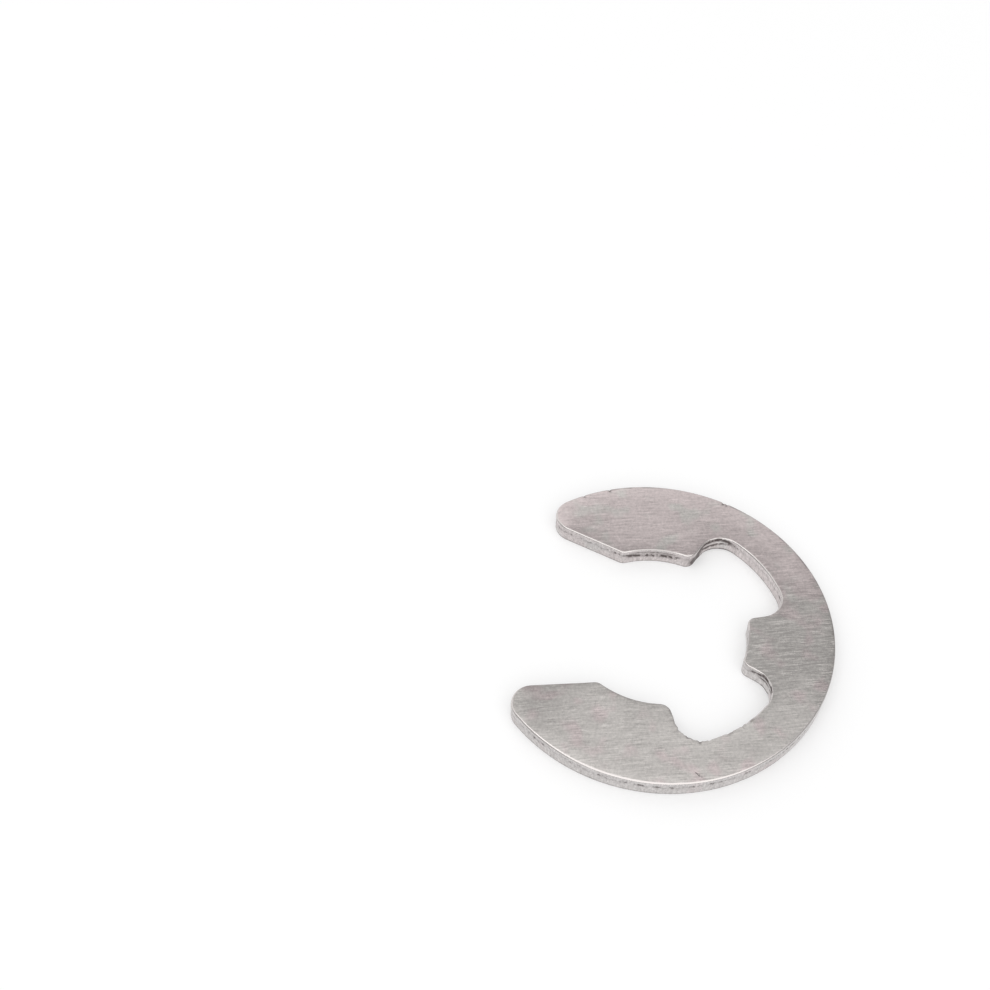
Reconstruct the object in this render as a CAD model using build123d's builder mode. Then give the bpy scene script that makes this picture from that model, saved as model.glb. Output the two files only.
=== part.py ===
from build123d import *
import os

# E-clip: a spring-steel retaining ring that is pushed sideways into a groove round a shaft.
# It is stamped from flat strip in one piece. The origin is the centre of the grip circle on the
# lower face, +Z runs up through the thickness, the mouth opens towards -Y and the middle prong
# stands at +Y. Lengths are in millimetres and angles in degrees.

# The ring, from the shaft outwards, and its strip
grip_diameter = 15.0  # the circle on which the three prongs grip the bottom of the groove
pocket_depth = 3.8  # from the grip circle out to the far wall of the relief pockets
rim_width = 3.2  # from there to the outside, which makes the clip 29 mm across
back_extra = 0.3  # the rim grows by this much at the back, where it bends most
thickness = 1.6

# The two legs, whose inner ends are the side prongs
mouth_angle = 30.0  # the side prongs reach round to this angle below the X axis
lead_in_angle = 16.0  # slope of each leg's mouth flank, measured from the Y axis
side_prong_angle = 15.0  # the side prongs end this far above the X axis
pocket_flank_angle = 26.0  # slope of the flank from there out to the rim

# The middle prong
prong_width = 4.4  # across its end, on the grip circle
prong_flare_angle = 21.0  # slope of each flank, measured from the Y axis

# Rounds of the outline
tip_round = 1.7
mouth_round = 0.8
side_prong_round = 0.9
prong_round = 0.7
root_round = 2.0  # where both flanks of a pocket run into its far wall

# Edges of the stamping: the punch rolls the upper edge over, and tumbling breaks the lower one
rolled_edge = 0.15
broken_edge = 0.08

grip_radius = grip_diameter / 2
outer_radius = grip_radius + pocket_depth + rim_width
pocket_radius = grip_radius + pocket_depth
pocket_centre = (0, -back_extra)
prong_corner = Vector(prong_width / 2, (grip_radius**2 - (prong_width / 2) ** 2) ** 0.5)


def both_sides(sketch, corner):
    """The sketch's vertex at a corner of the right half, and its mirror image on the left."""
    right = sketch.vertices().sort_by_distance(corner)[0]
    left = sketch.vertices().sort_by_distance((-corner.X, corner.Y))[0]
    return [right, left]


with BuildPart() as e_clip:
    with BuildSketch() as outline:
        with BuildLine():
            # Construction circles: the rim's outside, and the far wall of both pockets
            rim_circle = CenterArc((0, 0), outer_radius, 0, 360, mode=Mode.PRIVATE)
            pocket_circle = CenterArc(pocket_centre, pocket_radius, 0, 360, mode=Mode.PRIVATE)

            # Right leg: the side prong's grip arc, and the flank that leads the shaft in
            side_prong = CenterArc((0, 0), grip_radius, -mouth_angle, mouth_angle + side_prong_angle)
            mouth_flank = PolarLine(side_prong @ 0, rim_circle, lead_in_angle - 90)

            # Right half of the middle prong: its end on the grip circle, and its flank
            RadiusArc(prong_corner, (0, grip_radius), -grip_radius)
            prong_flank = PolarLine(prong_corner, pocket_circle, 90 - prong_flare_angle)

            # Relief pocket between the two prongs, and the rim's outside
            pocket_flank = PolarLine(side_prong @ 1, pocket_circle, pocket_flank_angle)
            RadiusArc(pocket_flank @ 1, prong_flank @ 1, -pocket_radius)
            ThreePointArc(mouth_flank @ 1, (outer_radius, 0), (0, outer_radius))
            mirror(about=Plane.YZ)
        make_face()
        fillet(both_sides(outline, mouth_flank @ 1), tip_round)
        fillet(both_sides(outline, side_prong @ 0), mouth_round)
        fillet(both_sides(outline, side_prong @ 1), side_prong_round)
        fillet(both_sides(outline, prong_corner), prong_round)
        fillet(both_sides(outline, pocket_flank @ 1), root_round)
        fillet(both_sides(outline, prong_flank @ 1), root_round)
    extrude(amount=thickness)
    upper_face = e_clip.faces().sort_by(Axis.Z)[-1]
    fillet(upper_face.edges(), rolled_edge)
    lower_face = e_clip.faces().sort_by(Axis.Z)[0]
    fillet(lower_face.edges(), broken_edge)

e_clip.part.label = "e_clip"
os.makedirs("parts", exist_ok=True)
export_step(e_clip.part, "parts/e_clip.step")

size = e_clip.part.bounding_box().size
print(f"e_clip {size.X:.2f} x {size.Y:.2f} x {size.Z:.2f} mm, volume {e_clip.part.volume:.1f} mm3")
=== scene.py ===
# %% [markdown]
# # A blanked E-clip in satin stainless steel
#
# An E-clip is a flat ring with a mouth. It is pushed sideways into a groove round a shaft, where
# three prongs grip the groove's floor, and its rim then stands out as a shoulder. The CAD model
# has the shape, but every face of it is perfect, and a real clip never is: a punch has torn it out
# of steel strip. This lesson loads the CAD clip and gives it what the press left behind: a soft
# rolled edge above, a clean band below it, a torn band under that, and the straight grain of the
# strip on both faces. Where the lesson gives a reason for a mark, it is a likely one, not a known
# one.
#
# Lengths are in millimetres up to the point where they become a mesh. MM turns them into metres,
# which is what Blender works in.

# %% Load the CAD clip
import math

import bpy
import numpy as np
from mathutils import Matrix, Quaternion, Vector, geometry, noise


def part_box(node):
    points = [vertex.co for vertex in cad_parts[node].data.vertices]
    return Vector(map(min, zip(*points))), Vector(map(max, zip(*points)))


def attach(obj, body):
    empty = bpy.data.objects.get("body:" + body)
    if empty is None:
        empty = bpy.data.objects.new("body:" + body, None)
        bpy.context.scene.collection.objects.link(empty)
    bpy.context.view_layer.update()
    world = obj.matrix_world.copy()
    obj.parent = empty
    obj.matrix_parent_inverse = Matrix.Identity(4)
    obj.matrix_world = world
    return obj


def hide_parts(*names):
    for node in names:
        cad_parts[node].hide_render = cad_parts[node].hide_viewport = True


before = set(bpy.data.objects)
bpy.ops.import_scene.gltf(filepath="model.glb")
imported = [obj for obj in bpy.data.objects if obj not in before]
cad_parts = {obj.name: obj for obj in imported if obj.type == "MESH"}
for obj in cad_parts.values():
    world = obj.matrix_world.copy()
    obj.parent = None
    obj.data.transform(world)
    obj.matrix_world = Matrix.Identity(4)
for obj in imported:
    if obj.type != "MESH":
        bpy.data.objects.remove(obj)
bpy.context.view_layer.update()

MM = 0.001
lowest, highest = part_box("e_clip")
thickness = (highest.z - lowest.z) / MM
across_mm, deep_mm = (highest.x - lowest.x) / MM, (highest.y - lowest.y) / MM
print(f"CAD clip: {across_mm:.2f} x {deep_mm:.2f} x {thickness:.2f} mm")

# %% [markdown]
# ## The outline, read from the CAD wall
#
# Everything that the press leaves follows the edge of the clip, so the edge comes first. It could
# be drawn again from the clip's sizes, but then two drawings would have to agree. Reading it from
# the CAD mesh is safer. The mesh holds only the ends of short chords, yet it also holds the true
# direction of the wall at both ends of each chord, and a chord with the directions at its ends is
# one exact arc. So the smooth outline comes back whole.


# %% Chords of the wall, in order round the clip
def read_chords(mesh):
    """Start point, end point and both outward directions of each chord."""
    after = {}
    for face in mesh.polygons:
        if abs(face.normal.z) > 0.01:
            continue
        corners = list(face.loop_indices)
        for one, other in zip(corners, corners[1:] + corners[:1]):
            far, near = (mesh.vertices[mesh.loops[i].vertex_index].co / MM for i in (one, other))
            if min(far.z, near.z) > thickness / 2:
                out_near = mesh.corner_normals[other].vector.copy()
                out_far = mesh.corner_normals[one].vector.copy()
                key = (round(near.x, 3), round(near.y, 3))
                after[key] = (near, far, out_near, out_far)
    chain = [after.pop(min(after))]
    while after:
        end = chain[-1][1]
        chain.append(after.pop((round(end.x, 3), round(end.y, 3))))
    return np.array([[v.to_2d() for v in chord] for chord in chain])


chords = read_chords(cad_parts["e_clip"].data)
print(f"{len(chords)} chords make the wall")


# %% Even steps along the arcs
def walk_outline(chords, step):
    """Points, outward directions and bends (1/radius, positive outside), evenly spaced."""
    start, end, out_start, out_end = (chords[:, i] for i in range(4))
    heading = np.arctan2(out_start[:, 0], -out_start[:, 1])
    turn = np.arctan2(out_end[:, 0], -out_end[:, 1]) - heading
    turn = (turn + math.pi) % (2 * math.pi) - math.pi
    lengths = np.linalg.norm(end - start, axis=1) / np.sinc(turn / (2 * math.pi))
    ends = np.cumsum(lengths)
    count = round(ends[-1] / step)
    places = (np.arange(count) + 0.5) * ends[-1] / count
    arc = np.searchsorted(ends, places)
    gone = places - (ends - lengths)[arc]
    turned = turn[arc] * gone / lengths[arc]
    facing = heading[arc] + turned / 2
    reach = gone * np.sinc(turned / (2 * math.pi))
    points = start[arc] + reach[:, None] * np.stack([np.cos(facing), np.sin(facing)], axis=1)
    now = heading[arc] + turned
    outward = np.stack([np.sin(now), -np.cos(now)], axis=1)
    return points, outward, turn[arc] / lengths[arc]


POINT_STEP = 0.0875
outline, outward, bend = walk_outline(chords, POINT_STEP)
point_count = len(outline)
perimeter = np.linalg.norm(outline - np.roll(outline, 1, axis=0), axis=1).sum()
print(f"outline: {point_count} points along {perimeter:.1f} mm")

# %% [markdown]
# ## Tools for uneven edges
#
# No two places on a cut edge are alike, so the lesson needs noise. Random numbers would change
# with every run and with every new point. A noise that depends only on place gives the same edge
# each time. Next to it stand four small helpers: a soft step, a soft peak, the same peak round a
# spot, and an average along the outline, because nothing on worn metal starts or stops at a sharp
# line.


# %% Noise, soft steps and soft peaks
def ripple(points, size, seed):
    """Smooth noise from about -1 to 1 whose lumps are about size across."""
    shift = Vector((seed * 17.3, seed * -9.1, seed * 5.7))
    return np.array([noise.noise(Vector(p) / size + shift) for p in points])


def ease(low, high, value):
    """0 at low and before it, 1 at high and past it, smooth between."""
    share = np.clip((value - low) / (high - low), 0, 1)
    return share * share * (3 - 2 * share)


def peak(value, middle, width):
    """1 at the middle, fading away over about width on both sides."""
    return np.exp(-(((value - middle) / width) ** 2))


def round_spot(points, spot, reach):
    """1 at a spot, fading away over about reach on all sides."""
    return peak(np.linalg.norm(points - spot, axis=1), 0, reach)


def spread(values, reach):
    """Values along the outline, averaged over about reach each way."""
    steps = np.arange(-40, 41)
    weights = peak(steps * perimeter / point_count, 0, reach)
    moved = [np.roll(values, n) * w for n, w in zip(steps, weights)]
    return np.sum(moved, axis=0) / weights.sum()


at_top = np.column_stack([outline, np.full(point_count, thickness)])
sample = ripple(at_top, 1.0, 0)
print(f"ripple runs from {sample.min():.2f} to {sample.max():.2f}")

# %% [markdown]
# ## Zones round the clip
#
# The cut differs round the clip. Most of the small hollow corners at the prongs' roots are torn
# badly, probably because a punch wears first there, and the arcs that grip the shaft are torn a
# little more than the rim. These places could be marked by hand, but the bend of the outline
# already tells them apart: it is negative in a hollow, and the smaller the hollow, the stronger.
# Each zone is a number from 0 to 1 at every point of the outline.


# %% Zones told apart by their bend
GRIP_BEND, POCKET_BEND, ROOT_BEND = (-0.20, -0.12), (-0.12, -0.05), (-math.inf, -0.30)
# Where the hole's side of the outline gives way to the rim's, in distances from the middle.
HOLE_EDGE = (11.8, 12.6)


def zone(bends, reach, share=1.0):
    """1 on inner arcs whose bend lies between the two values, with softened ends."""
    tightest, widest = bends
    return spread(inner * (bend > tightest) * (bend < widest) * share, reach)


inner = 1 - ease(*HOLE_EDGE, np.linalg.norm(outline, axis=1))
degrees_round = np.degrees(np.arctan2(outline[:, 1], outline[:, 0]))
grip = zone(GRIP_BEND, 0.25)
prong_end = grip * (np.abs(outline[:, 0]) < 3)
pocket = zone(POCKET_BEND, 0.40)
# Three of the four roots are worn: the one at each leg's prong and the middle prong's right one.
# The middle prong's left root, whose wall faces the mouth, is spared.
worn = np.where(outline[:, 0] < 0, ease(-0.3, 0.3, outward[:, 1]), 1)
root = zone(ROOT_BEND, 0.35, worn)
hollow = np.clip(1.5 * spread(root, 0.8), 0, 1)
# The left leg's root is torn worst, and the dark lines of the worn roots are strongest there.
left_root = zone(ROOT_BEND, 0.35) * (outline[:, 0] < -7)
right_pocket = inner * ease(6.5, 7.5, outline[:, 0]) * ease(2.0, 3.2, outline[:, 1])
soft_right_pocket = spread(right_pocket, 0.3)
for name, share in (("grip arcs", grip), ("pocket walls", pocket), ("worn hollows", hollow)):
    print(f"{name}: {share.mean():.0%} of the outline")

# %% [markdown]
# ## The rolled edge
#
# Before the punch cuts, it bends the strip down at the cut. That rolls the upper edge over, and
# the face sinks a little beside it. How wide the roll is depends on the gap between punch and
# die. Here it is wide on one side of the clip and tight on the other, as it would be with a punch
# slightly off centre. A bevel modifier would make it the same everywhere. Rings of points, each
# with its own distance in from the wall and its own height, can follow the changing width.

# %% Width of the roll, and the rings of the wall
# The side on which the roll is widest.
gap_side = (0.9, -0.4)
off_centre = spread(outward @ gap_side, 0.4)
inner_roll = 0.11 + 0.05 * off_centre + 0.02 * pocket - 0.03 * hollow
outer_roll = 0.125 + 0.075 * off_centre
roll = spread(np.where(inner > 0.5, inner_roll, outer_roll), 0.4)
lower_round = np.full(point_count, 0.04)
flush = np.zeros(point_count)
flat_top = np.full(point_count, thickness)

UPPER_BORDER, LOWER_BORDER = (0.30, 0.15, 0.06), (0.08, 0.22)
ROLL_RINGS, WALL_RINGS, LOWER_RINGS = 8, 23, 5

rings = [(roll + more, flat_top) for more in UPPER_BORDER]
for a in np.linspace(0, math.pi / 2, ROLL_RINGS):
    rings.append((roll * (1 - math.sin(a)), thickness - roll * (1 - math.cos(a))))
first_wall_ring = len(rings) - 1
for share in np.linspace(0, 1, WALL_RINGS)[1:]:
    rings.append((flush, (1 - share) * (thickness - roll) + share * lower_round))
last_wall_ring = len(rings) - 1
for a in np.linspace(math.pi / 2, 0, LOWER_RINGS)[1:]:
    rings.append((lower_round * (1 - math.sin(a)), lower_round * (1 - math.cos(a))))
rings += [(lower_round + more, flush) for more in LOWER_BORDER]
print(f"roll {roll.min():.2f} to {roll.max():.2f} mm wide, {len(rings)} rings down the wall")

# %% [markdown]
# ## The torn wall
#
# The roll and a cleanly sheared band below it take up about the upper third of the wall, more on
# the grip arcs and less in the worn roots. The rest is torn: it is rough, dull, set in by a few
# hundredths of a millimetre, and it has dark pits along the line where tearing began. On the grip
# arcs and in the worn roots a scored band and a seam darken the clean part too, partly as painted
# shade in the hollows. In the roots a dark line along the foot of the wall is painted shadow. A
# bump texture could fake all this on a flat wall, but against a pale table the outline of a torn
# edge shows, so it is real geometry: the depth of each mark moves the points.

# %% How strong each mark is along the outline
tear_height = 1.12 - 0.23 * grip + 0.30 * hollow
tear_height += 0.10 * ripple(at_top, 3.0, 1) + 0.06 * ripple(at_top, 0.6, 2)
pit_and_shade_strength = 0.8 + 0.5 * grip + 0.8 * hollow + 0.6 * left_root - 0.6 * pocket * (1 - hollow)
# Round the left tip the pits are held back.
pit_and_shade_strength *= 1 - 0.6 * peak(degrees_round, -125, 12)
score_and_shade_strength = 0.12 + 0.45 * grip + 1.0 * hollow
seam_strength = 0.22 + 0.50 * grip + 0.75 * hollow - 0.16 * pocket * (1 - hollow)
seam_height = thickness - roll - 0.05 - 0.08 * grip
second_height = 0.88 - 0.30 * left_root * ease(5.2, 3.0, outline[:, 1])
# Four dark spots, as where a flake of metal comes away: a point on the wall and a reach.
torn_out = (
    ((-6.8, -3.2, 0.95), 0.24),
    ((-7.85, 2.15, 0.50), 0.45),
    ((-8.4, 2.5, 0.25), 0.42),
    ((-8.7, 2.65, 0.95), 0.40),
)
print(f"tearing starts between {tear_height.min():.2f} and {tear_height.max():.2f} mm up")


# %% Marks on one ring of the wall
def wall_marks(here, height, on_wall):
    """How torn a ring is, and how much scoring, pitting and painted shade it has, each 0 to 1."""
    torn = ease(-0.02, 0.05, tear_height - height) * on_wall
    line = peak(height, tear_height - 0.04, 0.15) * on_wall
    second_line_and_foot_shadow = 0.9 * peak(height, second_height, 0.10) * root * on_wall
    # Painted shadow: a dark line along the foot of the wall in the roots.
    second_line_and_foot_shadow += 0.6 * peak(height, 0.06, 0.08) * root
    broken = ease(0.12, 0.30, ripple(here * [1, 1, 0.5], 0.23, 6) + 0.17 * grip)
    holes = ease(-0.15, 0.30, ripple(here, 0.5, 7)) * hollow
    pits_and_shade = (line + second_line_and_foot_shadow) * pit_and_shade_strength * (broken + holes)
    # The same two lines, near mid-height and at the foot, are stronger in the left leg's root.
    # The one at the foot is painted shadow, where the wall meets the table.
    pits_and_shade += 0.90 * peak(height, second_height, 0.13) * left_root * (0.6 + 0.4 * broken)
    pits_and_shade += 0.80 * peak(height, 0.02, 0.14) * left_root
    pits_and_shade += 0.22 * line * ease(-0.1, 0.3, ripple(here, 0.6, 16)) * (1 - pocket)
    for spot, wide in torn_out:
        pits_and_shade += 1.3 * round_spot(here, spot, wide) * on_wall
    below_roll = ease(0.0, 0.10, thickness - roll + 0.02 - height)
    # The scored band and the seam are partly painted shade in the hollows.
    scored_and_shade = below_roll * ease(-0.30, 0.05, height - tear_height + 0.12) * score_and_shade_strength
    seam = peak(height, seam_height, 0.07) * seam_strength * on_wall
    scored_and_shade += seam * (0.5 + ease(-0.5, 0.5, ripple(at_top, 0.9, 11)))
    scored_and_shade *= 1 + 0.5 * ripple(here * [1, 1, 0.2], 0.2, 8)
    return torn, np.clip(scored_and_shade, 0, 1), np.clip(pits_and_shade, 0, 1)


middle = np.column_stack([outline, tear_height])
middle_pits = wall_marks(middle, tear_height, 1.0)[2]
print(f"pits cover {(middle_pits > 0.5).mean():.0%} of the line where tearing begins")

# %% [markdown]
# ## Wear at the upper edge
#
# A few marks belong to this clip alone. Four nicks sit on the left side of the rim. The edge of
# the right pocket is frayed, as if the punch had dragged its burr. Broken dark lengths, probably
# grime, lie in the fray. Along the tight side of the roll broken dark lengths are painted as well,
# as a painted dark reflection. Sinking the nicks and the fray into the rings is as easy as painting
# them, and it holds when the light moves, so they get both depth and colour.

# %% Nicks, frayed edge, grime and painted dark reflection
# Each nick: its place on the rim in degrees, its width, and how deep it is.
nicks = ((-155.2, 0.11, 1.0), (-145.7, 0.11, 0.8), (164.1, 0.12, 1.0), (162.8, 0.10, 0.9))
nicked = np.zeros(point_count)
rim_radius = across_mm / 2
for degrees, wide, deep in nicks:
    angle = math.radians(degrees)
    nick_at = rim_radius * np.array([math.cos(angle), math.sin(angle)])
    nicked += deep * round_spot(outline, nick_at, wide)
fray_depth = 0.030 * inner * ease(0.0, 0.5, ripple(at_top, 2.0, 9)) + 0.13 * soft_right_pocket
fray = fray_depth * (0.8 * ripple(at_top, 0.23, 10) + 0.5 * ripple(at_top, 0.8, 13))
tight_side = ease(-0.3, -0.8, off_centre)
# Grime in the fray; along the tight side of the roll, a painted dark reflection.
grime_and_dark_reflection = (0.55 - 0.3 * inner) * tight_side * ease(-0.1, 0.35, ripple(at_top, 1.1, 12))
grime_and_dark_reflection += 0.7 * soft_right_pocket * ease(0.0, 0.3, ripple(at_top, 0.7, 15))
print(f"{len(nicks)} nicks; the frayed edge wanders {np.ptp(fray):.2f} mm")

# %% Place the rings
sink = 0.045 + 0.02 * ripple(at_top, 5.0, 3)
sink_reach = 1.1


def wall_ring(inset, height):
    """Positions of one ring, and how torn it is, with its scoring, pitting and painted shade."""
    here = np.column_stack([outline, height])
    on_wall = 1.0 - np.clip(inset / roll, 0, 1)
    torn, scored_and_shade, pits_and_shade = wall_marks(here, height, on_wall)
    rough = 0.6 * ripple(here, 0.22, 4) + 0.4 * ripple(here, 0.45, 5)
    taper = 0.022 * np.clip(tear_height - height, 0, 1)
    depth = torn * (0.018 + taper + 0.010 * rough)
    depth += 0.05 * pits_and_shade + 0.012 * scored_and_shade + 0.003 * on_wall
    near_edge = ease(0.45, 0.15, inset) * ease(0.35, 0.0, thickness - height)
    depth += (fray + 0.10 * nicked) * near_edge
    on_roll = ease(0.14, 0.06, inset - roll) * ease(0.30, 0.12, thickness - height)
    # Nicks, fray and grime add to the pits, and so does the painted dark reflection on the roll.
    pits_and_shade += (nicked + 0.5 * ease(0.03, 0.08, fray)) * near_edge + grime_and_dark_reflection * on_roll
    lowered = sink * np.clip(1 - inset / sink_reach, 0, 1) ** 2 * ease(0.5, 1.0, height / thickness)
    flat = outline - outward * np.maximum(inset + depth, 0)[:, None]
    return np.column_stack([flat, height - lowered]), torn, scored_and_shade, np.clip(pits_and_shade, 0, 1)


made = [wall_ring(inset, height) for inset, height in rings]
ring_points, ring_torn, ring_scored_and_shade, ring_pits_and_shade = (list(kind) for kind in zip(*made))
upper_ring, lower_ring = ring_points[0], ring_points[-1]
wall_points = ring_points[first_wall_ring:last_wall_ring]
deepest = max(np.linalg.norm(p[:, :2] - outline, axis=1).max() for p in wall_points)
print(f"the wall's deepest point lies {deepest:.2f} mm in from the outline")

# %% [markdown]
# ## Filling the two faces
#
# The rings stop just inside the edge, above and below. The flat rest could be one many-cornered
# polygon, but such a face shades badly beside a rounded edge, and it has no points that could
# sink or carry marks. An even grid of points, joined by a triangulation that keeps to the ring,
# gives a clean mesh with both.


# %% Fill a ring with even triangles
def face_grid(ring, spacing):
    """Points of a triangular grid that keep clear of the ring."""
    low, high = ring.min(axis=0), ring.max(axis=0)
    rows = np.arange(low[1], high[1], spacing * math.sqrt(3) / 2)
    lines = [np.arange(low[0] + (n % 2) * spacing / 2, high[0], spacing) for n in range(len(rows))]
    grid = np.array([(x, y) for y, line in zip(rows, lines) for x in line])
    gaps, _ = nearest_point(grid, ring)
    return grid[gaps > 0.6 * spacing]


def nearest_point(points, ring):
    """Distance from each point to the ring, and the number of the ring's nearest point."""
    gaps, numbers = [], []
    for part in np.array_split(points, 40):
        apart = np.linalg.norm(part[:, None] - ring[None], axis=2)
        gaps.append(apart.min(axis=1))
        numbers.append(apart.argmin(axis=1))
    return np.concatenate(gaps), np.concatenate(numbers)


def fill_face(ring, spacing):
    """Extra points and triangles that fill the ring, with the ring's points first."""
    grid = face_grid(ring, spacing)
    together = [Vector(p) for p in np.vstack([ring, grid])]
    loop = list(range(len(ring)))
    inside_only, weld = 1, 1e-6
    filled = geometry.delaunay_2d_cdt(together, [], [loop], inside_only, weld)
    _, _, triangles, origins, _, _ = filled
    own = [o[0] for o in origins]
    used = sorted({own[i] for t in triangles for i in t if own[i] >= len(ring)})
    place_of = {o: o for o in loop}
    place_of.update({o: len(ring) + n for n, o in enumerate(used)})
    extra = np.array([together[o] for o in used])
    return extra, [[place_of[own[i]] for i in t] for t in triangles]


UPPER_SPACING, LOWER_SPACING = 0.24, 0.5
upper_extra, upper_triangles = fill_face(upper_ring[:, :2], UPPER_SPACING)
lower_extra, lower_triangles = fill_face(lower_ring[:, :2], LOWER_SPACING)
print(f"faces: {len(upper_triangles)} triangles above, {len(lower_triangles)} below")

# %% Put the clip's mesh together
upper_gap, upper_near = nearest_point(upper_extra, outline)
upper_sunk = sink[upper_near] * np.clip(1 - upper_gap / sink_reach, 0, 1) ** 2
upper_points = np.column_stack([upper_extra, thickness - upper_sunk])
lower_points = np.column_stack([lower_extra, np.zeros(len(lower_extra))])
upper_start = len(rings) * point_count
lower_start = upper_start + len(upper_points)
last_ring_start = upper_start - point_count


def numbered(triangle, ring_start, extra_start):
    """A triangle's corners as numbers in the whole mesh."""
    return [i + ring_start if i < point_count else i - point_count + extra_start for i in triangle]


faces = []
for ring_start in range(0, last_ring_start, point_count):
    for n in range(point_count):
        one, other = ring_start + n, ring_start + (n + 1) % point_count
        faces.append((one, one + point_count, other + point_count, other))
faces += [numbered(t, 0, upper_start) for t in upper_triangles]
faces += [numbered(t, last_ring_start, lower_start)[::-1] for t in lower_triangles]

all_points = np.vstack([*ring_points, upper_points, lower_points]) * MM
clip_mesh = bpy.data.meshes.new("stamped_e_clip")
clip_mesh.from_pydata(all_points.tolist(), [], faces)
clip_mesh.validate()
clip_mesh.shade_smooth()
stamped_clip = bpy.data.objects.new("stamped_clip", clip_mesh)
bpy.context.scene.collection.objects.link(stamped_clip)
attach(stamped_clip, "root")
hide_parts("e_clip")
print(f"clip: {len(clip_mesh.vertices)} points, {len(clip_mesh.polygons)} faces")

# %% [markdown]
# ## Polish, painted sheen and burnish
#
# The border of the face is brighter along the rim, except at the back, and a little dull round
# the hole, except along the frayed pocket. That is partly polish and partly painted light: a
# painted sheen along the rim and painted shade round the hole, as a border that bends down would
# catch. The rolled edge is bright where it is wide, and dull where it is tight and on the grip
# arcs. Tumbling with stones, which stamped clips often go through, could leave marks like these.
# The material can't work out where they are, so the numbers are written on the mesh as
# attributes, which it can read by name.

# %% How bright the face's border and the rolled edge are
at_back = peak(degrees_round, 100, 38)
at_right_tip = peak(degrees_round, -59, 10)
outer_sheen_and_polish = 0.28 - 0.07 * off_centre - 0.33 * at_back - 0.28 * at_right_tip
inner_sheen_and_polish = -0.22 - 0.10 * off_centre + 0.37 * soft_right_pocket
sheen_and_polish = spread(np.where(inner > 0.5, inner_sheen_and_polish, outer_sheen_and_polish), 0.5)
plain_inner = inner * (1 - hollow) * (1 - pocket)
burnished = ease(-0.75, 0.0, off_centre) * (1 - 0.2 * plain_inner - 0.35 * grip - 0.35 * prong_end)
burnished += 0.9 * soft_right_pocket * ease(0.0, 0.15, ripple(at_top, 0.27, 14))
print(f"polish {sheen_and_polish.min():.2f} to {sheen_and_polish.max():.2f}, burnish up to {burnished.max():.2f}")


# %% Write the marks on the mesh
def write_mark(name, on_rings, on_face):
    """A number for each point of the mesh, under a name. The lower face has none of it."""
    values = np.concatenate([*on_rings, on_face, np.zeros(len(lower_points))])
    marks = clip_mesh.attributes.new(name, "FLOAT", "POINT")
    marks.data.foreach_set("value", values.astype(np.float32))


SHEEN_AND_POLISH_REACH = 0.9


def faded(gap, strength):
    """Polish and painted sheen die away from the edge inwards."""
    return strength * np.exp(-gap / SHEEN_AND_POLISH_REACH)


no_mark = np.zeros(len(upper_points))
write_mark("torn", ring_torn, no_mark)
write_mark("pit_and_shade", ring_pits_and_shade, no_mark)
write_mark("scored_and_shade", ring_scored_and_shade, no_mark)
write_mark("wall", [np.clip(1 - inset / roll, 0, 1) for inset, _ in rings], no_mark)
face_sheen_and_polish = faded(upper_gap, sheen_and_polish[upper_near])
write_mark("sheen_and_polish", [faded(inset, sheen_and_polish) for inset, _ in rings], face_sheen_and_polish)
write_mark("burnish", [burnished for _ in rings], burnished[upper_near])
print("marks:", ", ".join(a.name for a in clip_mesh.attributes if a.data_type == "FLOAT"))

# %% [markdown]
# ## Sums with sockets
#
# A material's node tree is a formula, and a formula is easier to read as an expression than as a
# web of links. One small class wraps a socket, and each operator on it adds a node: a Math node
# for numbers, and a Vector Math node where the socket carries a vector.


# %% A socket that can be added up
class Wire:
    """An output socket, or a tree with none yet, whose arithmetic adds nodes to the tree."""

    def __init__(self, tree, socket=None):
        self.tree, self.socket = tree, socket

    def node(self, kind, settings=None, output=0, **inputs):
        """Adds a node, sets it up, feeds its inputs by name (or in0, in1, ... by place)."""
        made = self.tree.nodes.new(kind)
        for name, value in (settings or {}).items():
            setattr(made, name, value)
        for name, value in inputs.items():
            by_place = name.startswith("in") and name[2:].isdigit()
            target = made.inputs[int(name[2:]) if by_place else name.replace("_", " ")]
            if isinstance(value, Wire):
                self.tree.links.new(value.socket, target)
            else:
                target.default_value = value
        return Wire(self.tree, None if output is None else made.outputs[output])

    def sum(self, operation, one, other):
        """One arithmetic node, for vectors or for numbers."""
        on_vectors = self.socket.type == "VECTOR"
        kind = "ShaderNodeVectorMath" if on_vectors else "ShaderNodeMath"
        return self.node(kind, {"operation": operation}, in0=one, in1=other)

    def __add__(self, other):
        return self.sum("ADD", self, other)

    def __sub__(self, other):
        return self.sum("SUBTRACT", self, other)

    def __rsub__(self, other):
        return self.sum("SUBTRACT", other, self)

    def __mul__(self, other):
        return self.sum("MULTIPLY", self, other)

    __radd__, __rmul__ = __add__, __mul__

    def length(self):
        """How long a vector is."""
        return self.node("ShaderNodeVectorMath", {"operation": "LENGTH"}, output="Value", in0=self)

    def between(self, low, high):
        """0 where this is under low, 1 where it is over high, smooth between."""
        settings = {"interpolation_type": "SMOOTHSTEP"}
        return self.node("ShaderNodeMapRange", settings, Value=self, From_Min=low, From_Max=high)

    def mix(self, below, above):
        """One colour where this is 0, the other where it is 1."""
        settings = {"data_type": "RGBA"}
        return self.node("ShaderNodeMix", settings, output=2, in0=self, in6=below, in7=above)


def empty_material(name):
    """A new material with an empty node tree, and a Wire to add nodes to it."""
    material = bpy.data.materials.new(name)
    material.use_nodes = True
    material.node_tree.nodes.clear()
    return material, Wire(material.node_tree)


steel, tree = empty_material("satin_stainless_steel")
print("materials so far:", steel.name)

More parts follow.
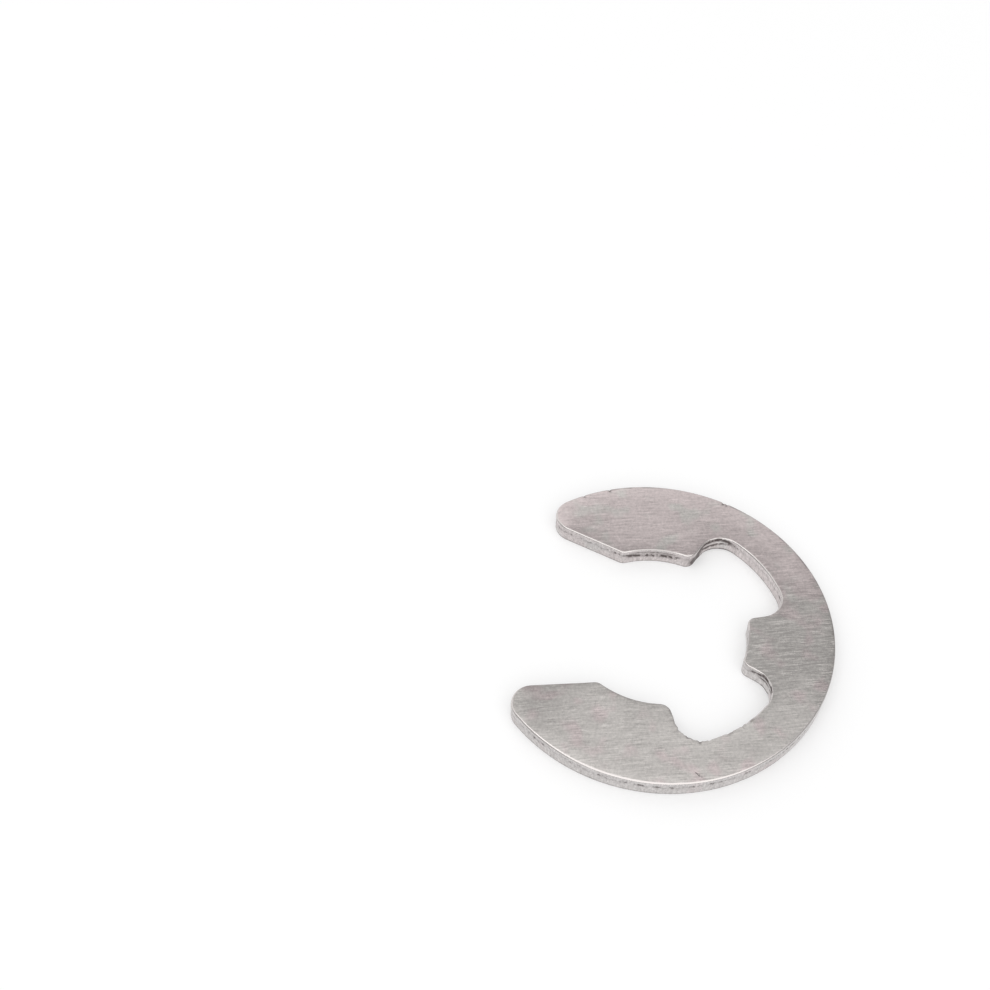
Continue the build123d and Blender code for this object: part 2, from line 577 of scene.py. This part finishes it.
# %% [markdown]
# ## The strip's grain
#
# The grain runs straight across the whole clip, whatever the outline does, so the strip was
# probably brushed before it was stamped. An image of brushed steel would repeat and blur. Noise
# stretched along one direction doesn't: hair lines, shorter dashes and broad bands stand for the
# grain, and round lumps of four sizes stand for the grit and the soft unevenness between the
# lines.

# %% Streaks and spots
GRAIN_ANGLE = math.radians(-72.5)


def turned(vector, angle):
    """The vector, turned about the upright axis."""
    upright_axis = {"rotation_type": "Z_AXIS"}
    return tree.node("ShaderNodeVectorRotate", upright_axis, in0=vector, Angle=angle)


place = tree.node("ShaderNodeTexCoord", output="Object") * (1 / MM, 1 / MM, 1 / MM)
along = turned(place, -GRAIN_ANGLE)


def noise_on(vector, detail):
    """Noise from 0 to 1 over a vector."""
    return tree.node("ShaderNodeTexNoise", output="Fac", Vector=vector, Scale=1.0, Detail=detail)


def streaks(length, thin, detail=2.0):
    """Noise drawn out along the grain."""
    return noise_on(along * (1 / length, 1 / thin, 1 / thin), detail)


def spots(size, detail=2.0):
    """Noise with round lumps of that size."""
    return noise_on(place * (1 / size, 1 / size, 1 / size), detail)


hair, dashes, bands = streaks(2.2, 0.055, 1.0), streaks(0.9, 0.11, 1.0), streaks(2.4, 0.42)
clouds, patches, flecks, grit = spots(3.5), spots(0.9), spots(0.22), spots(0.10, 1.0)
print(f"grain runs {math.degrees(GRAIN_ANGLE):.1f} degrees from X")

# %% [markdown]
# ## Shade and tint of the faces
#
# Satin steel is a middle grey whose shade wavers with the grain. On this clip the middle of the
# back and the right tip are darker, probably from handling, and at the back the brush lines show
# more. One short scratch lies near the rim on the right. All of that changes a single number, the
# shade, which picks a colour between a dark and a light grey. The left leg also has a faint warm
# tint, such as annealing may leave, and the rest has it in patches. The tint chooses between two
# pairs of greys.


# %% Colour of the faces
def mark(name):
    """A number written on the mesh."""
    return tree.node("ShaderNodeAttribute", {"attribute_name": name}, output="Fac")


def grey(level, red, blue):
    """A grey of that level whose red and blue are so many times its green."""
    green = 3 * level / (red + 1 + blue)
    return (red * green, green, blue * green, 1)


def near_to(spot, core, edge):
    """1 within core of a spot on the upper face, fading to 0 at edge."""
    return 1 - (place - (*spot, thickness)).length().between(core, edge)


TIP_SMUDGE_AT, BACK_SMUDGE_AT = (9.6, -10.6), (-0.8, 13.0)
SCRATCH_AT, SCRATCH_RADIANS = (12.86, 5.03), 1.10
SCRATCH_HALF_LENGTH, SCRATCH_HALF_WIDTH = 0.48, 0.11

tip_smudge, back_smudge = near_to(TIP_SMUDGE_AT, 1.0, 8.5), near_to(BACK_SMUDGE_AT, 1.5, 8.5)
on_scratch = turned(place - (*SCRATCH_AT, thickness), -SCRATCH_RADIANS)
on_scratch = on_scratch * (1 / SCRATCH_HALF_LENGTH, 1 / SCRATCH_HALF_WIDTH, 0)
scratch = 1 - on_scratch.length().between(0.35, 1.0)
scratch = scratch * flecks.between(0.34, 0.50)

gain = (patches.between(0.30, 0.70) * 0.9 + 0.5) * (0.72 + back_smudge * 0.70)
tone = ((hair - 0.5) * 1.35 + (dashes - 0.5) * 0.95 + (grit - 0.5) * 0.7) * gain
tone = tone + (bands - 0.5) * 0.40 + (flecks - 0.5) * 0.70 + (clouds - 0.5) * 0.28
# The mark from the mesh adds polish and painted sheen near the edges.
face_shade = 0.5 + tone + mark("sheen_and_polish") * 1.3 - tip_smudge * 0.38 - back_smudge * 0.28
face_shade = face_shade - scratch * 0.95

left_to_right = tree.node("ShaderNodeSeparateXYZ", output="X", in0=place)
warm = spots(1.9, 1.5) + 0.22 - left_to_right.between(-6.0, -2.5) * 0.22
warm = warm.between(0.52, 0.70)
DARK, LIGHT = 0.320, 0.648
PLAIN_TINT, WARM_TINT = (1.048, 0.962), (1.130, 0.990)
dark_face = warm.mix(grey(DARK, *PLAIN_TINT), grey(DARK, *WARM_TINT))
light_face = warm.mix(grey(LIGHT, *PLAIN_TINT), grey(LIGHT, *WARM_TINT))
face_colour = face_shade.mix(dark_face, light_face)
print(f"{len(tree.tree.nodes)} nodes give the faces their colour")

# %% [markdown]
# ## Colour of the wall and the roll
#
# The wall mirrors the table, and its own grey is paler than that of the faces. Fine upright drag
# lines run down it. The marks on the mesh darken it, pits more than the scored band, and both
# carry some painted shade. The wall's last two tenths of a millimetre are darkened as well, as
# painted shade, since little light reaches there. The roll is bright where it is burnished and
# dull where it isn't.

# %% Colour of the whole clip
# The darkest grey, for pits and for painted shade.
PIT_AND_SHADE_GREY = (0.145, 0.122, 0.118, 1)
PALE_STEEL, WARM_PALE_STEEL = (0.78, 0.752, 0.742, 1), (0.80, 0.742, 0.737, 1)
DULL_ROLL, BRIGHT_ROLL = (0.36, 0.335, 0.325, 1), (0.645, 0.61, 0.595, 1)

edge, pit_and_shade, scored_and_shade, torn, burnish = (mark(n) for n in ("wall", "pit_and_shade", "scored_and_shade", "torn", "burnish"))
height = tree.node("ShaderNodeSeparateXYZ", output="Z", in0=place)
wall = edge.between(0.55, 1.0)
rolled = edge.between(0.02, 0.20) * (1 - edge.between(0.75, 1.0))
fine = spots(0.12, 3.0)
upright = noise_on(place * (1 / 0.13, 1 / 0.13, 1 / 0.7), 2.0)
wall_shade = 0.77 + (fine - 0.5) * 0.55 + (upright - 0.5) * 0.5 + (flecks - 0.5) * 0.6
# The last term darkens the wall's lowest two tenths of a millimetre: painted shade.
wall_shade = wall_shade - pit_and_shade * 0.80 - scored_and_shade * 0.50 - (1 - height.between(0.0, 0.20)) * 0.45
pale_wall = warm.mix(PALE_STEEL, WARM_PALE_STEEL)
wall_colour = wall_shade.mix(PIT_AND_SHADE_GREY, pale_wall)
rolled_colour = burnish.mix(DULL_ROLL, BRIGHT_ROLL)
colour = wall.mix(rolled.mix(face_colour, rolled_colour), wall_colour)
# Pits, nicks and grime darken the faces and the roll, and so do the painted dark reflection and
# shade.
colour = (pit_and_shade * 0.85 * (1 - wall)).mix(colour, PIT_AND_SHADE_GREY)
print(f"{len(tree.tree.nodes)} nodes with the wall")

# %% [markdown]
# ## Shine and relief
#
# Roughness decides how wide a glint spreads. Brushed faces have a middling one that wavers with
# the hair lines, the torn wall is rougher, and the burnished roll is the smoothest. The brush
# lines also get a very shallow relief through a Bump node, because their height, about a
# thousandth of a millimetre, is far less than the mesh could carry. The scratch and the torn
# wall's finest grain are one to three hundredths deep, and go through the same node.

# %% Roughness, bump and shader
face_rough = 0.38 + (hair - 0.5) * 0.25 + (clouds - 0.5) * 0.10
wall_rough = 0.30 + torn * 0.22 + scored_and_shade * 0.1 + (fine - 0.5) * 0.2
roughness = (face_rough * (1 - wall) + wall_rough * wall) * (1 - rolled * burnish * 0.45)
BRUSH_DEPTH, SCRATCH_DEPTH, TORN_DEPTH = 0.0015, 0.03, 0.012
face_relief = (hair + dashes) * BRUSH_DEPTH * gain * (1 - edge.between(0.0, 0.2))
relief = face_relief - scratch * SCRATCH_DEPTH + fine * torn * wall * TORN_DEPTH
bumped = tree.node("ShaderNodeBump", output="Normal", Strength=1.0, Distance=MM, Height=relief)
shader = tree.node(
    "ShaderNodeBsdfPrincipled", Base_Color=colour, Metallic=1.0, Roughness=roughness, Normal=bumped
)
tree.node("ShaderNodeOutputMaterial", output=None, Surface=shader)
clip_mesh.materials.append(steel)
print(f"{steel.name}: {len(steel.node_tree.nodes)} nodes")

# %% [markdown]
# ## A white table
#
# Small steel parts show mostly what is around them, so the table matters as much as the metal.
# It is a plain matte white sheet. A real one, well lit, comes out as pure white and so does its
# mirror image in the clip's wall, while the clip's shadow still falls on it. More light would do
# that, but it would bleach the steel as well. So a Light Path node lets the sheet glow, a little
# where it is seen directly and more in reflections.

# %% The table
TABLE_HALF = 1.2

corners = [(x * TABLE_HALF, y * TABLE_HALF, 0) for x, y in ((-1, -1), (1, -1), (1, 1), (-1, 1))]
table_mesh = bpy.data.meshes.new("white_table")
table_mesh.from_pydata(corners, [], [(0, 1, 2, 3)])
table = bpy.data.objects.new("white_table", table_mesh)
bpy.context.scene.collection.objects.link(table)

sheet, sheet_tree = empty_material("white_table_top")
matte = sheet_tree.node("ShaderNodeBsdfDiffuse", Color=(0.95, 0.95, 0.95, 1))
white = sheet_tree.node("ShaderNodeEmission", Color=(1, 1, 1, 1), Strength=1.0)
seen = sheet_tree.node("ShaderNodeLightPath", output="Is Camera Ray")
mirrored = sheet_tree.node("ShaderNodeLightPath", output="Is Glossy Ray")
glow = seen * 0.25 + mirrored * 0.75
table_top = sheet_tree.node("ShaderNodeMixShader", in0=glow, in1=matte, in2=white)
sheet_tree.node("ShaderNodeOutputMaterial", output=None, Surface=table_top)
table_mesh.materials.append(sheet)
print(f"table {2 * TABLE_HALF:.1f} m across")

# %% [markdown]
# ## Soft light
#
# A sharp lamp on polished metal gives a few burnt spots and black all around, so small metal
# parts are often lit in a tent of white cloth. The room is an even grey, a dim box over the far
# side is what the flat face mirrors, and a brighter one overhead on the near side is what the
# rolled edge catches as a thin bright line.

# %% Room and soft boxes
ROOM_GREY = 0.52

room = bpy.data.worlds.new("soft_room")
bpy.context.scene.world = room
room.use_nodes = True
backdrop = room.node_tree.nodes["Background"]
backdrop.inputs["Color"].default_value = (ROOM_GREY, ROOM_GREY, ROOM_GREY, 1)
backdrop.inputs["Strength"].default_value = 1.0


def soft_box(name, direction, away, size, brightness):
    """A square lamp that faces the clip from a direction, at a distance in millimetres."""
    lamp = bpy.data.lights.new(name, "AREA")
    lamp.shape, lamp.size = "SQUARE", size * MM
    lamp.energy = brightness * math.pi * lamp.size**2
    box = bpy.data.objects.new(name, lamp)
    towards = Vector(direction).normalized()
    box.location = towards * away * MM
    box.rotation_euler = towards.to_track_quat("Z", "Y").to_euler()
    bpy.context.scene.collection.objects.link(box)
    print(f"{name}: {lamp.energy:.2f} W")


soft_box("ceiling_box", (-0.60, -0.68, 0.78), away=1100, size=1900, brightness=0.52)
soft_box("near_box", (0.50, 0.14, 0.86), away=900, size=1500, brightness=0.98)

# %% [markdown]
# ## The camera
#
# The clip lies flat, and the eye looks down on it from its right side, about halfway between
# level and overhead, with the mouth opening to the left. A lens of about 50 mm keeps the rim's
# perspective mild. The camera turns about a point beside the clip, so that the clip sits right of
# the middle and below it, as one of a handful of parts laid out on a table would.

# %% Camera
azimuth, elevation, tilt = (math.radians(v) for v in (100.98, 50.91, 1.64))
aim = Vector((-10.23, -15.76, thickness))
camera_distance = 120.555
focal_length, sensor_width = 49.96, 36

lens = bpy.data.cameras.new("camera")
lens.sensor_width, lens.lens, lens.clip_start = sensor_width, focal_length, 0.005
camera = bpy.data.objects.new("camera", lens)
bpy.context.scene.collection.objects.link(camera)
bpy.context.scene.camera = camera
level = math.cos(elevation)
back = Vector((math.sin(azimuth) * level, -math.cos(azimuth) * level, math.sin(elevation)))
camera.location = (aim + back * camera_distance) * MM
camera.rotation_mode = "QUATERNION"
camera.rotation_quaternion = (-back).to_track_quat("-Z", "Y") @ Quaternion((0, 0, 1), tilt)
bpy.context.scene.view_settings.view_transform = "Standard"
print("camera at", [round(v / MM, 1) for v in camera.location], "mm")
